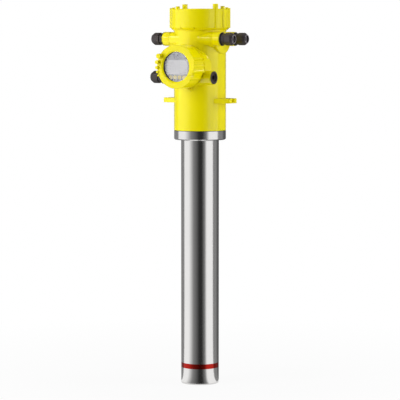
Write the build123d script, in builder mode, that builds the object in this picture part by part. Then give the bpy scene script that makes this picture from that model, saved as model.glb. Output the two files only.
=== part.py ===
from build123d import *
import math
import os

os.makedirs("parts", exist_ok=True)

# All sizes are in millimetres. The origin is the centre of the tube's lower end, +Z runs up the
# tube's axis, and the display faces -Y.

# Clearances
fit = 0.05  # radial, between pieces that are assembled once
play = 0.3  # between pieces that turn or slide past each other
seat_gap = 0.3  # between a screwed lid or cap and the face that it closes on

# Detector tube and what closes it
tube_diameter = 76.1
tube_wall = 2.0
tube_free_length = 493.0  # below the collar
tube_seat_depth = 12.0  # inside the collar
spigot_depth = 0.6  # that the tube's end is turned down by, for the collar
tube_end_thickness = 4.0
mark_ring_height = 32.0
mark_ring_width = 10.0
mark_ring_depth = 0.5

# Collar between tube and housing
collar_height = 18.0
collar_chamfer = 2.0
collar_throat_step = 2.0  # ledge that stops the tube
gasket_thickness = 1.0
gasket_inset = 1.0  # of its edge behind the collar's
gasket_throat_radius = 36.0
collar_screw_count = 4
collar_screw_angle = 45.0
screw_shank_radius = 2.5
screw_head_radius = 4.25
screw_head_height = 5.0
screw_head_space = 0.5  # around and below a head in its counterbore
screw_length = 19.0

# Housing casting
barrel_diameter = 104.0
barrel_wall = 6.0
barrel_height = 199.7
lower_cavity_height = 143.0
partition_thickness = 5.0
neck_diameter = 103.0
neck_height = 30.0
bead_diameter = 106.4
bead_height = 2.0
screw_boss_radius = 6.5
screw_boss_height = 18.0

# Cable entries
entry_drop = 17.7  # upper entries' axis below the barrel's top
entry_spacing = 52.8
entry_reach = 66.0
boss_radius = 14.0
boss_chamfer = 1.4
seam_reach = 48.5
seam_width = 0.8
seam_depth = 0.5
yoke_radius = 30.0
yoke_reach = 54.5
yoke_chamfer = 1.5
shoulder_root_reach = 14.0  # where the shoulder between bosses and barrel starts
shoulder_root_spread = 36.0
lower_entry_drop = 21.7  # below the display's axis
lower_entry_forward = 45.0
lower_entry_reach = 57.0
entry_bore_radius = 10.0

# Mounting lugs
lug_height = 59.5  # middle of the lugs above the housing's lower face
lug_thickness = 9.5
lug_reach = 76.5
lug_root_reach = 45.0
lug_root_half_width = 25.0
lug_tip_half_width = 15.0
lug_corner = 3.0
slot_width = 9.0
slot_depth = 15.0

# Main lid
lid_diameter = 118.0
lid_height = 42.0
lid_crown = 6.0
lid_mouth_chamfer = 4.0
lid_edge_chamfer = 1.2
notch_angles = (-100.0, -71.0)
notch_width = 2.0
notch_height = 3.0
seal_section = 2.6
seal_inset = 6.5  # middle of a lid's O-ring above its mouth

# Grip ribs, round bars that get smaller and closer together round the lid
rib_count = 5
rib_size_ratio = 0.79
rib_proud = 1.8
rib_round = 0.6
first_rib_pitch = 18.9
main_rib_angle = -26.6
main_rib_radius = 5.3
main_rib_rise = 9.5
main_rise_ratio = 0.55
display_rib_angle = -31.4
display_rib_radius = 5.0
display_rib_rise = 10.0
display_rise_ratio = 0.64

# Display chamber and lid, measured from the tube's axis towards the display
display_height = 128.0  # display's axis above the housing's lower face
chamber_radius = 43.0
chamber_reach = 55.7
chamber_floor = 50.0
display_neck_radius = 36.7
display_neck_reach = 84.0
chamber_bore_radius = 32.0
display_lid_radius = 43.3
window_gap = 2.0  # between the neck's end and the ring that holds the window
lid_relief = 1.5
window_opening_radius = 29.5
window_bevel = 3.0
window_bevel_depth = 1.7
window_front_wall = 2.5
window_gasket_thickness = 0.5
window_thickness = 3.5
window_radius = 34.4
window_ring_width = 4.2
window_ring_thickness = 2.5

# Lock screw of the display lid
lock_angle = -79.6
lock_screw_radius = 2.2
lock_boss_radius = 4.5
lock_screw_length = 12.0
lock_screw_proud = 3.0

# Display module
module_face_proud = 3.0  # beyond the end of the display's neck
module_radius = 30.0
module_depth = 15.0
post_radius = 3.5
post_circle_radius = 24.0
pin_radius = 2.0
pin_length = 5.0
lcd_width = 46.4
lcd_height = 28.4
lcd_thickness = 2.0
lcd_drop = 1.0
key_radius = 3.8
key_count = 4
key_spacing = 10.2
key_drop = 20.7
key_length = 3.5
key_proud = 0.7
key_travel = 0.6

# Cable glands, measured outwards from the end face of a boss
washer_thickness = 1.2
washer_radius = 13.4
gland_thread_length = 12.0
gland_hex_across = 20.8
gland_hex_corner_radius = 11.3
gland_hex_height = 6.3
gland_neck_radius = 9.2
gland_neck_length = 12.5
gland_bore_radius = 6.5
seal_chamber_radius = 8.0
seal_chamber_depth = 8.0
seal_nose_radius = 7.2
seal_nose_length = 3.0
left_cable_radius = 5.5
right_cable_radius = 5.2  # the right glands have inserts for a thinner cable
nut_gap = 1.5
nut_length = 17.8
nut_across = 22.8
nut_corner_radius = 12.4
nut_mouth_radius = 8.7
nut_nose_length = 5.3

# Blind plug
plug_thread_play = 0.1
plug_flange_radius = 12.8
plug_flange_thickness = 1.5
plug_recess_radius = 8.5
plug_recess_depth = 2.0
plug_hex_across = 10.0
plug_hex_depth = 6.0

# Scintillation detector inside the tube
pad_thickness = 6.0
rod_radius = 26.0
rod_length = 250.0
optical_pad_thickness = 1.5
photo_tube_radius = 25.5
photo_tube_length = 84.0
photo_base_radius = 26.5
photo_base_length = 26.0
socket_radius = 27.0
socket_height = 22.0
socket_depth = 8.0
shield_gap = 1.2
shield_wall = 0.8
shield_overlap = 12.0  # down over the rod's end
centring_width = 10.0
spring_radius = 21.0
spring_wire_width = 3.0
spring_wire_height = 2.0
spring_turns = 3
spring_space = 30.0
spring_plate_thickness = 3.0
circlip_thickness = 1.6
circlip_depth = 1.0
circlip_width = 3.0
circlip_gap_width = 14.0

# Electronics and terminals
board_radius = 40.0
board_thickness = 1.6
power_board_height = 48.0  # above the housing's lower face
processor_board_height = 88.0
pillar_radius = 3.0
pillar_circle_radius = 32.0
pillar_foot = 3.0
module_box = (44.0, 26.0, 16.0)
terminal_length = 64.0
terminal_width = 22.0
terminal_height = 16.0
terminal_count = 8
terminal_screw_radius = 2.4
terminal_screw_depth = 5.0
terminal_wire_width = 4.0
terminal_wire_height = 4.5
ground_screw_offset = 27.0
ground_screw_radius = 3.0
ground_head_radius = 5.0
ground_head_height = 3.5
ground_clamp_thickness = 2.0

# Heights worked out from the driving sizes
tube_radius = tube_diameter / 2
tube_bore = tube_radius - tube_wall
tube_top = tube_free_length + tube_seat_depth
collar_bottom = tube_free_length
collar_top = collar_bottom + collar_height
housing_bottom = collar_top + gasket_thickness
barrel_top = housing_bottom + barrel_height
neck_top = barrel_top + neck_height
barrel_radius = barrel_diameter / 2
cavity_radius = barrel_radius - barrel_wall
neck_radius = neck_diameter / 2
partition_bottom = housing_bottom + lower_cavity_height
partition_top = partition_bottom + partition_thickness
entry_z = barrel_top - entry_drop
display_z = housing_bottom + display_height
lower_entry_z = display_z - lower_entry_drop
lug_z = housing_bottom + lug_height
main_mouth_z = barrel_top + seat_gap
display_mouth_reach = chamber_reach + seat_gap
module_face_reach = display_neck_reach + module_face_proud
window_back_reach = display_neck_reach + window_gap + window_ring_thickness
window_front_reach = window_back_reach + window_thickness + window_gasket_thickness
display_lid_depth = window_front_reach + window_front_wall - display_mouth_reach
collar_screw_circle = (barrel_radius + tube_radius) / 2

# Planes that pieces are placed on
display_axis_plane = Plane(origin=(0, 0, display_z), x_dir=(1, 0, 0), z_dir=(0, -1, 0))
main_mouth = Plane.XY.offset(main_mouth_z)
display_mouth = display_axis_plane.offset(display_mouth_reach)


def entry_plane(side, y, z, reach):
    """Plane on the end face of a boss, its normal pointing outwards along +X or -X."""
    return Plane(origin=(side * reach, y, z), x_dir=(0, side, 0), z_dir=(side, 0, 0))


def keep(part, name):
    part.label = name
    export_step(part, f"parts/{name}.step")


def lid_blank(mouth, radius, height, first_angle, widest, rise, rise_ratio):
    """A solid lid with its two groups of grip ribs, before it is bored."""
    outwards = Axis(mouth.origin, mouth.z_dir)
    angles = [first_angle]
    for number in range(rib_count - 1):
        angles.append(angles[-1] + first_rib_pitch * rib_size_ratio**number)
    with BuildPart() as ribs:
        for number in reversed(range(rib_count)):
            rib = widest * rib_size_ratio**number
            with BuildSketch(mouth.offset(lid_mouth_chamfer)):
                with PolarLocations(radius + rib_proud - rib, 2, start_angle=angles[number]):
                    Circle(rib)
            extrude(amount=height - lid_mouth_chamfer + rise * rise_ratio**number)
            fillet(ribs.faces().group_by(outwards)[-1].edges(), rib_round * rib_size_ratio**number)
    with BuildPart() as blank:
        with BuildSketch(mouth):
            Circle(radius)
        extrude(amount=height)
        rims = blank.edges().filter_by(GeomType.CIRCLE).sort_by(outwards)
        chamfer(rims[0], lid_mouth_chamfer)
        chamfer(rims[-1], lid_edge_chamfer)
        add(ribs.part)
    return blank.part


# Housing: one casting with its entries, yoke, display chamber, lugs and both cavities
with BuildPart() as housing:
    # Upper cable bosses, run right through and bored hollow later
    with BuildSketch(Plane.YZ):
        with Locations((-entry_spacing / 2, entry_z), (entry_spacing / 2, entry_z)):
            Circle(boss_radius)
    extrude(amount=entry_reach, both=True)
    boss_rims = housing.edges().filter_by(GeomType.CIRCLE).group_by(Axis.X)
    chamfer(boss_rims[0] + boss_rims[-1], boss_chamfer)
    for side in (-1, 1):
        with BuildSketch(Plane.YZ.offset(side * seam_reach)):
            with Locations((-entry_spacing / 2, entry_z), (entry_spacing / 2, entry_z)):
                Circle(boss_radius)
                Circle(boss_radius - seam_depth, mode=Mode.SUBTRACT)
        extrude(amount=side * seam_width, mode=Mode.SUBTRACT)

    # Half-round yoke that joins the two bosses of each side
    with BuildSketch(Plane.YZ):
        with Locations((0, entry_z)):
            Circle(yoke_radius)
        with Locations((0, entry_z + boss_radius)):
            Rectangle(2 * yoke_radius, yoke_radius, align=(Align.CENTER, Align.MIN), mode=Mode.SUBTRACT)
    yoke = extrude(amount=yoke_reach, both=True, mode=Mode.PRIVATE)
    yoke_ends = yoke.faces().filter_by(Axis.X).edges()
    add(yoke.chamfer(yoke_chamfer, None, yoke_ends))

    # Shoulder that runs from the bosses and the yoke to the barrel, almost tangent to it
    for side in (-1, 1):
        shoulder_sections = ((seam_reach, entry_spacing / 2), (shoulder_root_reach, shoulder_root_spread))
        for reach, spread in shoulder_sections:
            with BuildSketch(Plane.YZ.offset(side * reach)):
                with Locations((0, entry_z)):
                    Circle(yoke_radius)
                    Rectangle(2 * yoke_radius, yoke_radius, align=(Align.CENTER, Align.MIN), mode=Mode.SUBTRACT)
                with Locations((-spread, entry_z), (spread, entry_z)):
                    Circle(boss_radius)
                make_hull()
        loft(ruled=True)

    # Lower entries on both sides of the display
    with BuildSketch(Plane.YZ):
        with Locations((-lower_entry_forward, lower_entry_z)):
            Circle(boss_radius)
    lower_bosses = extrude(amount=lower_entry_reach, both=True, mode=Mode.PRIVATE)
    lower_rims = lower_bosses.edges().filter_by(GeomType.CIRCLE)
    add(lower_bosses.chamfer(boss_chamfer, None, lower_rims))

    # Display chamber with the small boss of its lid's lock screw
    with BuildSketch(display_axis_plane):
        Circle(chamber_radius)
        with PolarLocations(display_lid_radius + lock_screw_radius + play, 1, start_angle=lock_angle):
            Circle(lock_boss_radius)
    extrude(amount=chamber_reach)
    with BuildSketch(display_axis_plane):
        Circle(display_neck_radius)
    extrude(amount=display_neck_reach)
    with BuildSketch(display_axis_plane.offset(chamber_reach)):
        Circle(display_lid_radius + lid_relief)
        Circle(display_neck_radius, mode=Mode.SUBTRACT)
    extrude(amount=boss_radius, mode=Mode.SUBTRACT)

    # Barrel, its bead under the lid and the neck that the lid screws onto
    with BuildSketch(Plane.XY.offset(housing_bottom)):
        Circle(barrel_radius)
    extrude(amount=barrel_height)
    with BuildSketch(Plane.XY.offset(barrel_top - bead_height)):
        Circle(bead_diameter / 2)
    extrude(amount=bead_height)
    with BuildSketch(Plane.XY.offset(barrel_top)):
        Circle(neck_radius)
    extrude(amount=neck_height)
    chamfer(housing.edges().filter_by(GeomType.CIRCLE).sort_by(Axis.Z)[-1], lid_edge_chamfer)

    # Lugs with open slots
    with BuildSketch(Plane.XY.offset(lug_z - lug_thickness / 2)) as lugs:
        Polygon(
            (-lug_reach, -lug_tip_half_width),
            (-lug_root_reach, -lug_root_half_width),
            (lug_root_reach, -lug_root_half_width),
            (lug_reach, -lug_tip_half_width),
            (lug_reach, lug_tip_half_width),
            (lug_root_reach, lug_root_half_width),
            (-lug_root_reach, lug_root_half_width),
            (-lug_reach, lug_tip_half_width),
            align=None,
        )
        tips = lugs.vertices().group_by(Axis.X)
        fillet(tips[0] + tips[-1], lug_corner)
        with Locations((-lug_reach, 0), (lug_reach, 0)):
            SlotOverall(2 * slot_depth, slot_width, mode=Mode.SUBTRACT)
    extrude(amount=lug_thickness)

    # Terminal cavity above the partition, electronics cavity below it
    with BuildSketch(Plane.XY.offset(partition_top)):
        Circle(cavity_radius)
    extrude(amount=neck_top - partition_top, mode=Mode.SUBTRACT)
    with BuildSketch(Plane.XY.offset(housing_bottom)):
        Circle(cavity_radius)
    extrude(amount=lower_cavity_height, mode=Mode.SUBTRACT)

    # Screw bosses inside the lower rim
    with BuildSketch(Plane.XY.offset(housing_bottom)):
        with PolarLocations(collar_screw_circle, collar_screw_count, start_angle=collar_screw_angle):
            Circle(screw_boss_radius)
        Circle(barrel_radius - barrel_wall / 2, mode=Mode.INTERSECT)
    extrude(amount=screw_boss_height)
    with BuildSketch(Plane.XY.offset(housing_bottom)):
        with PolarLocations(collar_screw_circle, collar_screw_count, start_angle=collar_screw_angle):
            Circle(screw_shank_radius + fit)
    extrude(amount=screw_length - (collar_height - screw_head_height), mode=Mode.SUBTRACT)

    # Bores of the cable entries, the lower one also opens the display chamber to the electronics
    with BuildSketch(Plane.YZ):
        with Locations((-entry_spacing / 2, entry_z), (entry_spacing / 2, entry_z)):
            Circle(entry_bore_radius + fit)
    extrude(amount=entry_reach, both=True, mode=Mode.SUBTRACT)
    with BuildSketch(display_axis_plane.offset(chamber_floor)):
        Circle(chamber_bore_radius)
    extrude(amount=display_neck_reach - chamber_floor, mode=Mode.SUBTRACT)
    with BuildSketch(Plane.YZ):
        with Locations((-lower_entry_forward, lower_entry_z)):
            Circle(entry_bore_radius + fit)
    extrude(amount=lower_entry_reach, both=True, mode=Mode.SUBTRACT)

    # Posts that the display module plugs onto, and the lock screw's hole
    with BuildSketch(display_axis_plane.offset(chamber_floor)):
        with PolarLocations(post_circle_radius, 3, start_angle=90):
            Circle(post_radius)
    extrude(amount=module_face_reach - module_depth - chamber_floor)
    with BuildSketch(display_axis_plane.offset(chamber_floor)):
        with PolarLocations(post_circle_radius, 3, start_angle=90):
            Circle(pin_radius)
    extrude(amount=module_face_reach - module_depth - chamber_floor + pin_length)
    lock_hole_plane = display_axis_plane.offset(chamber_reach)
    with BuildSketch(lock_hole_plane):
        with PolarLocations(display_lid_radius + lock_screw_radius + play, 1, start_angle=lock_angle):
            Circle(lock_screw_radius + plug_thread_play)
    extrude(amount=-(lock_screw_length - lock_screw_proud + seat_gap), mode=Mode.SUBTRACT)
keep(housing.part, "housing")

# Main lid
main_blank = lid_blank(
    main_mouth, lid_diameter / 2, lid_height, main_rib_angle, main_rib_radius, main_rib_rise, main_rise_ratio
)
main_bore = neck_radius + play
with BuildPart() as main_lid:
    add(main_blank)
    with BuildSketch(main_mouth):
        Circle(main_bore)
    extrude(amount=lid_height - lid_crown, mode=Mode.SUBTRACT)
    with BuildSketch(main_mouth.offset(seal_inset - seal_section / 2 - play)):
        Circle(main_bore + seal_section + play)
        Circle(main_bore, mode=Mode.SUBTRACT)
    extrude(amount=seal_section + 2 * play, mode=Mode.SUBTRACT)
    for angle in notch_angles:
        with BuildSketch(main_mouth):
            with PolarLocations(lid_diameter / 2, 1, start_angle=angle):
                Rectangle(2 * lid_mouth_chamfer, notch_width)
        extrude(amount=lid_mouth_chamfer + notch_height / 2, mode=Mode.SUBTRACT)
keep(main_lid.part, "main_lid")

with BuildPart() as main_lid_seal:
    with Locations(main_mouth.offset(seal_inset)):
        Torus(main_bore + seal_section / 2, seal_section / 2)
keep(main_lid_seal.part, "main_lid_seal")

# Display lid with the seat of its window
display_blank = lid_blank(
    display_mouth,
    display_lid_radius,
    display_lid_depth,
    display_rib_angle,
    display_rib_radius,
    display_rib_rise,
    display_rise_ratio,
)
display_bore = display_neck_radius + play
window_back_depth = window_back_reach - display_mouth_reach
with BuildPart() as display_lid:
    add(display_blank)
    with BuildSketch(display_mouth):
        Circle(display_bore)
    extrude(amount=window_back_depth - window_ring_thickness, mode=Mode.SUBTRACT)
    with BuildSketch(display_mouth):
        Circle(window_radius + fit)
    extrude(amount=display_lid_depth - window_front_wall, mode=Mode.SUBTRACT)
    with BuildSketch(display_mouth):
        Circle(window_opening_radius)
    extrude(amount=display_lid_depth, mode=Mode.SUBTRACT)
    with BuildSketch(display_mouth.offset(display_lid_depth)):
        Circle(window_opening_radius + window_bevel)
    bevel_angle = math.degrees(math.atan(window_bevel / window_bevel_depth))
    extrude(amount=-window_bevel_depth, taper=bevel_angle, mode=Mode.SUBTRACT)
    with BuildSketch(display_mouth.offset(seal_inset - seal_section / 2 - play)):
        Circle(display_bore + seal_section + play)
        Circle(display_bore, mode=Mode.SUBTRACT)
    extrude(amount=seal_section + 2 * play, mode=Mode.SUBTRACT)
keep(display_lid.part, "display_lid")

with BuildPart() as display_lid_seal:
    with Locations(display_mouth.offset(seal_inset)):
        Torus(display_bore + seal_section / 2, seal_section / 2)
keep(display_lid_seal.part, "display_lid_seal")

with BuildPart() as display_window:
    with BuildSketch(display_mouth.offset(window_back_depth)):
        Circle(window_radius)
    extrude(amount=window_thickness)
keep(display_window.part, "display_window")

with BuildPart() as window_gasket:
    with BuildSketch(display_mouth.offset(window_back_depth + window_thickness)):
        Circle(window_radius)
        Circle(window_opening_radius, mode=Mode.SUBTRACT)
    extrude(amount=window_gasket_thickness)
keep(window_gasket.part, "window_gasket")

with BuildPart() as window_retaining_ring:
    with BuildSketch(display_mouth.offset(window_back_depth - window_ring_thickness)):
        Circle(window_radius)
        Circle(window_radius - window_ring_width + play, mode=Mode.SUBTRACT)
    extrude(amount=window_ring_thickness)
keep(window_retaining_ring.part, "window_retaining_ring")

with BuildPart() as lid_lock_screw:
    with BuildSketch(lock_hole_plane.offset(lock_screw_proud)):
        with PolarLocations(display_lid_radius + lock_screw_radius + play, 1, start_angle=lock_angle):
            Circle(lock_screw_radius)
    extrude(amount=-lock_screw_length)
    with BuildSketch(lock_hole_plane.offset(lock_screw_proud)):
        with PolarLocations(display_lid_radius + lock_screw_radius + play, 1, start_angle=lock_angle):
            RegularPolygon(lock_screw_radius / 2, 6, major_radius=False)
    extrude(amount=-lock_screw_radius, mode=Mode.SUBTRACT)
keep(lid_lock_screw.part, "lid_lock_screw")

# Display module with its panel and four keys
module_face = display_axis_plane.offset(module_face_reach)
first_key = -key_spacing * (key_count - 1) / 2
key_places = [(first_key + number * key_spacing, -key_drop) for number in range(key_count)]
with BuildPart() as display_module_case:
    with BuildSketch(module_face):
        Circle(module_radius)
    extrude(amount=-module_depth)
    with BuildSketch(module_face):
        with Locations((0, -lcd_drop)):
            Rectangle(lcd_width + 2 * fit, lcd_height + 2 * fit)
    extrude(amount=-lcd_thickness, mode=Mode.SUBTRACT)
    with BuildSketch(module_face):
        with Locations(*key_places):
            Circle(key_radius + play)
    extrude(amount=-(key_length - key_proud + key_travel + play), mode=Mode.SUBTRACT)
    with BuildSketch(module_face.offset(-module_depth)):
        with PolarLocations(post_circle_radius, 3, start_angle=90):
            Circle(pin_radius + fit)
    extrude(amount=pin_length + fit, mode=Mode.SUBTRACT)
keep(display_module_case.part, "display_module_case")

with BuildPart() as lcd_panel:
    with BuildSketch(module_face):
        with Locations((0, -lcd_drop)):
            Rectangle(lcd_width, lcd_height)
    extrude(amount=-lcd_thickness)
keep(lcd_panel.part, "lcd_panel")

for number, place in enumerate(key_places, start=1):
    with BuildPart() as display_key:
        with BuildSketch(module_face.offset(key_proud)):
            with Locations(place):
                Circle(key_radius)
        extrude(amount=-key_length)
        fillet(display_key.edges().sort_by(Axis.Y)[0], key_proud / 2)
    keep(display_key.part, f"display_key_{number}")

# One cable gland, in its own frame with +Z along the cable's way out
hex_top = washer_thickness + gland_hex_height
neck_end = hex_top + gland_neck_length
nut_start = hex_top + nut_gap
nut_end = nut_start + nut_length
with BuildPart() as gland_body:
    with BuildSketch(Plane.XY.offset(-gland_thread_length)):
        Circle(entry_bore_radius)
    extrude(amount=gland_thread_length + washer_thickness)
    with BuildSketch(Plane.XY.offset(washer_thickness)):
        RegularPolygon(gland_hex_across / 2, 6, major_radius=False, rotation=30)
        Circle(gland_hex_corner_radius, mode=Mode.INTERSECT)
    extrude(amount=gland_hex_height)
    with BuildSketch(Plane.XY.offset(hex_top)):
        Circle(gland_neck_radius)
    extrude(amount=gland_neck_length)
    with BuildSketch(Plane.XY.offset(-gland_thread_length)):
        Circle(gland_bore_radius)
    extrude(amount=gland_thread_length + neck_end, mode=Mode.SUBTRACT)
    with BuildSketch(Plane.XY.offset(neck_end)):
        Circle(seal_chamber_radius)
    extrude(amount=-seal_chamber_depth, mode=Mode.SUBTRACT)


def make_gland_seal(cable_radius):
    with BuildPart() as gland_seal:
        with BuildSketch(Plane.XY.offset(neck_end - seal_chamber_depth)):
            Circle(seal_chamber_radius - fit)
        extrude(amount=seal_chamber_depth)
        with BuildSketch(Plane.XY.offset(neck_end)):
            Circle(seal_nose_radius)
        extrude(amount=seal_nose_length)
        with BuildSketch(Plane.XY.offset(neck_end - seal_chamber_depth)):
            Circle(cable_radius)
        extrude(amount=seal_chamber_depth + seal_nose_length, mode=Mode.SUBTRACT)
    return gland_seal.part


left_gland_seal = make_gland_seal(left_cable_radius)
right_gland_seal = make_gland_seal(right_cable_radius)

with BuildPart() as gland_nut:
    with BuildSketch(Plane.XY.offset(nut_start)):
        RegularPolygon(nut_across / 2, 6, major_radius=False, rotation=30)
    extrude(amount=nut_length)
    with BuildSketch(Plane.XZ):
        with BuildLine():
            Polyline(
                (0, nut_start),
                (nut_corner_radius, nut_start),
                (nut_corner_radius, nut_end - nut_nose_length),
                (nut_mouth_radius, nut_end),
                (0, nut_end),
                close=True,
            )
        make_face()
    revolve(axis=Axis.Z, mode=Mode.INTERSECT)
    with BuildSketch(Plane.XY.offset(nut_start)):
        Circle(gland_neck_radius + play)
    extrude(amount=neck_end + play - nut_start, mode=Mode.SUBTRACT)
    with BuildSketch(Plane.XY.offset(nut_start)):
        Circle(seal_nose_radius + play)
    extrude(amount=nut_length, mode=Mode.SUBTRACT)

with BuildPart() as gland_washer:
    with BuildSketch(Plane.XY):
        Circle(washer_radius)
        Circle(entry_bore_radius + fit, mode=Mode.SUBTRACT)
    extrude(amount=washer_thickness)

gland_places = {
    "front_left": entry_plane(-1, -entry_spacing / 2, entry_z, entry_reach),
    "rear_left": entry_plane(-1, entry_spacing / 2, entry_z, entry_reach),
    "front_right": entry_plane(1, -entry_spacing / 2, entry_z, entry_reach),
    "rear_right": entry_plane(1, entry_spacing / 2, entry_z, entry_reach),
    "lower_left": entry_plane(-1, -lower_entry_forward, lower_entry_z, lower_entry_reach),
}
for place, plane in gland_places.items():
    keep(plane.location * gland_body.part, f"gland_body_{place}")
    gland_seal = left_gland_seal if place.endswith("left") else right_gland_seal
    keep(plane.location * gland_seal, f"gland_seal_{place}")
    keep(plane.location * gland_nut.part, f"gland_nut_{place}")
with BuildPart() as gland_washers:
    for plane in gland_places.values():
        add(plane.location * gland_washer.part)
keep(gland_washers.part, "gland_washers")

# Blind plug in the free entry
plug_plane = entry_plane(1, -lower_entry_forward, lower_entry_z, lower_entry_reach)
plug_face = plug_plane.offset(seat_gap + plug_flange_thickness)
with BuildPart() as blind_plug:
    with BuildSketch(plug_plane.offset(-gland_thread_length)):
        Circle(entry_bore_radius - plug_thread_play)
    extrude(amount=gland_thread_length + seat_gap)
    with BuildSketch(plug_face):
        Circle(plug_flange_radius)
    extrude(amount=-plug_flange_thickness)
    with BuildSketch(plug_face):
        Circle(plug_recess_radius)
    extrude(amount=-plug_recess_depth, mode=Mode.SUBTRACT)
    with BuildSketch(plug_face.offset(-plug_recess_depth)):
        RegularPolygon(plug_hex_across / 2, 6, major_radius=False, rotation=30)
    extrude(amount=-plug_hex_depth, mode=Mode.SUBTRACT)
keep(blind_plug.part, "blind_plug")

# Collar that carries the tube, its gasket and its screws
with BuildPart() as collar:
    with BuildSketch(Plane.XY.offset(collar_bottom)):
        Circle(barrel_radius)
    extrude(amount=collar_height)
    chamfer(collar.edges().sort_by(Axis.Z)[0], collar_chamfer)
    with BuildSketch(Plane.XY.offset(collar_bottom)):
        Circle(tube_radius - spigot_depth + fit)
    extrude(amount=tube_seat_depth, mode=Mode.SUBTRACT)
    with BuildSketch(Plane.XY.offset(collar_bottom)):
        Circle(tube_bore - collar_throat_step)
    extrude(amount=collar_height, mode=Mode.SUBTRACT)
    with BuildSketch(Plane.XY.offset(collar_bottom)):
        with PolarLocations(collar_screw_circle, collar_screw_count, start_angle=collar_screw_angle):
            Circle(screw_shank_radius + fit)
    extrude(amount=collar_height, mode=Mode.SUBTRACT)
    with BuildSketch(Plane.XY.offset(collar_bottom)):
        with PolarLocations(collar_screw_circle, collar_screw_count, start_angle=collar_screw_angle):
            Circle(screw_head_radius + screw_head_space)
    extrude(amount=screw_head_height + screw_head_space, mode=Mode.SUBTRACT)
keep(collar.part, "collar")

with BuildPart() as collar_gasket:
    with BuildSketch(Plane.XY.offset(collar_top)):
        Circle(barrel_radius - gasket_inset)
        Circle(gasket_throat_radius, mode=Mode.SUBTRACT)
        with PolarLocations(collar_screw_circle, collar_screw_count, start_angle=collar_screw_angle):
            Circle(screw_shank_radius + fit, mode=Mode.SUBTRACT)
    extrude(amount=gasket_thickness)
keep(collar_gasket.part, "collar_gasket")

screw_seat = collar_bottom + screw_head_height + screw_head_space
with BuildPart() as collar_screws:
    with BuildSketch(Plane.XY.offset(screw_seat)):
        with PolarLocations(collar_screw_circle, collar_screw_count, start_angle=collar_screw_angle):
            Circle(screw_head_radius)
    extrude(amount=-screw_head_height)
    with BuildSketch(Plane.XY.offset(screw_seat)):
        with PolarLocations(collar_screw_circle, collar_screw_count, start_angle=collar_screw_angle):
            Circle(screw_shank_radius)
    extrude(amount=screw_length)
    with BuildSketch(Plane.XY.offset(screw_seat - screw_head_height)):
        with PolarLocations(collar_screw_circle, collar_screw_count, start_angle=collar_screw_angle):
            RegularPolygon(screw_shank_radius, 6)
    extrude(amount=screw_head_height / 2, mode=Mode.SUBTRACT)
keep(collar_screws.part, "collar_screws")

# Detector tube, closed by a welded plate, with an inlaid mark ring
pmt_bottom = tube_end_thickness + pad_thickness + rod_length + optical_pad_thickness
pmt_top = pmt_bottom + photo_tube_length + photo_base_length
socket_bottom = pmt_top - socket_depth
socket_top = socket_bottom + socket_height
plate_bottom = socket_top + spring_space
circlip_bottom = plate_bottom + spring_plate_thickness
with BuildPart() as detector_tube:
    with BuildSketch():
        Circle(tube_radius)
        Circle(tube_bore, mode=Mode.SUBTRACT)
    extrude(amount=tube_top)
    with BuildSketch(Plane.XY.offset(tube_free_length)):
        Circle(tube_radius)
        Circle(tube_radius - spigot_depth, mode=Mode.SUBTRACT)
    extrude(amount=tube_seat_depth, mode=Mode.SUBTRACT)
    with BuildSketch(Plane.XY.offset(mark_ring_height)):
        Circle(tube_radius)
        Circle(tube_radius - mark_ring_depth, mode=Mode.SUBTRACT)
    extrude(amount=mark_ring_width, mode=Mode.SUBTRACT)
    with BuildSketch(Plane.XY.offset(circlip_bottom)):
        Circle(tube_bore + circlip_depth + fit)
        Circle(tube_bore, mode=Mode.SUBTRACT)
    extrude(amount=circlip_thickness, mode=Mode.SUBTRACT)
keep(detector_tube.part, "detector_tube")

with BuildPart() as mark_ring:
    with BuildSketch(Plane.XY.offset(mark_ring_height)):
        Circle(tube_radius)
        Circle(tube_radius - mark_ring_depth, mode=Mode.SUBTRACT)
    extrude(amount=mark_ring_width)
keep(mark_ring.part, "mark_ring")

with BuildPart() as tube_end_cap:
    with BuildSketch():
        Circle(tube_bore - fit)
    extrude(amount=tube_end_thickness)
keep(tube_end_cap.part, "tube_end_cap")

# Scintillator rod on its pad, coupled to the photomultiplier by a clear pad
rod_bottom = tube_end_thickness + pad_thickness
rod_top = rod_bottom + rod_length
with BuildPart() as rod_pad:
    with BuildSketch(Plane.XY.offset(tube_end_thickness)):
        Circle(rod_radius)
    extrude(amount=pad_thickness)
keep(rod_pad.part, "rod_pad")

with BuildPart() as scintillator_rod:
    with BuildSketch(Plane.XY.offset(rod_bottom)):
        Circle(rod_radius)
    extrude(amount=rod_length)
keep(scintillator_rod.part, "scintillator_rod")

with BuildPart() as optical_pad:
    with BuildSketch(Plane.XY.offset(rod_top)):
        Circle(photo_tube_radius)
    extrude(amount=optical_pad_thickness)
keep(optical_pad.part, "optical_pad")

with BuildPart() as photomultiplier:
    with BuildSketch(Plane.XY.offset(pmt_bottom)):
        Circle(photo_tube_radius)
    extrude(amount=photo_tube_length)
    with BuildSketch(Plane.XY.offset(pmt_bottom + photo_tube_length)):
        Circle(photo_base_radius)
    extrude(amount=photo_base_length)
keep(photomultiplier.part, "photomultiplier")

with BuildPart() as tube_socket:
    with BuildSketch(Plane.XY.offset(socket_bottom)):
        Circle(photo_base_radius + shield_gap + shield_wall + pin_radius)
    extrude(amount=socket_height)
    with BuildSketch(Plane.XY.offset(socket_bottom)):
        Circle(photo_base_radius + fit)
    extrude(amount=socket_depth, mode=Mode.SUBTRACT)
keep(tube_socket.part, "tube_socket")

shield_bore = photo_base_radius + shield_gap
with BuildPart() as magnetic_shield:
    with BuildSketch(Plane.XY.offset(rod_top - shield_overlap)):
        Circle(shield_bore + shield_wall)
        Circle(shield_bore, mode=Mode.SUBTRACT)
    extrude(amount=socket_bottom - rod_top + shield_overlap)
keep(magnetic_shield.part, "magnetic_shield")

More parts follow.
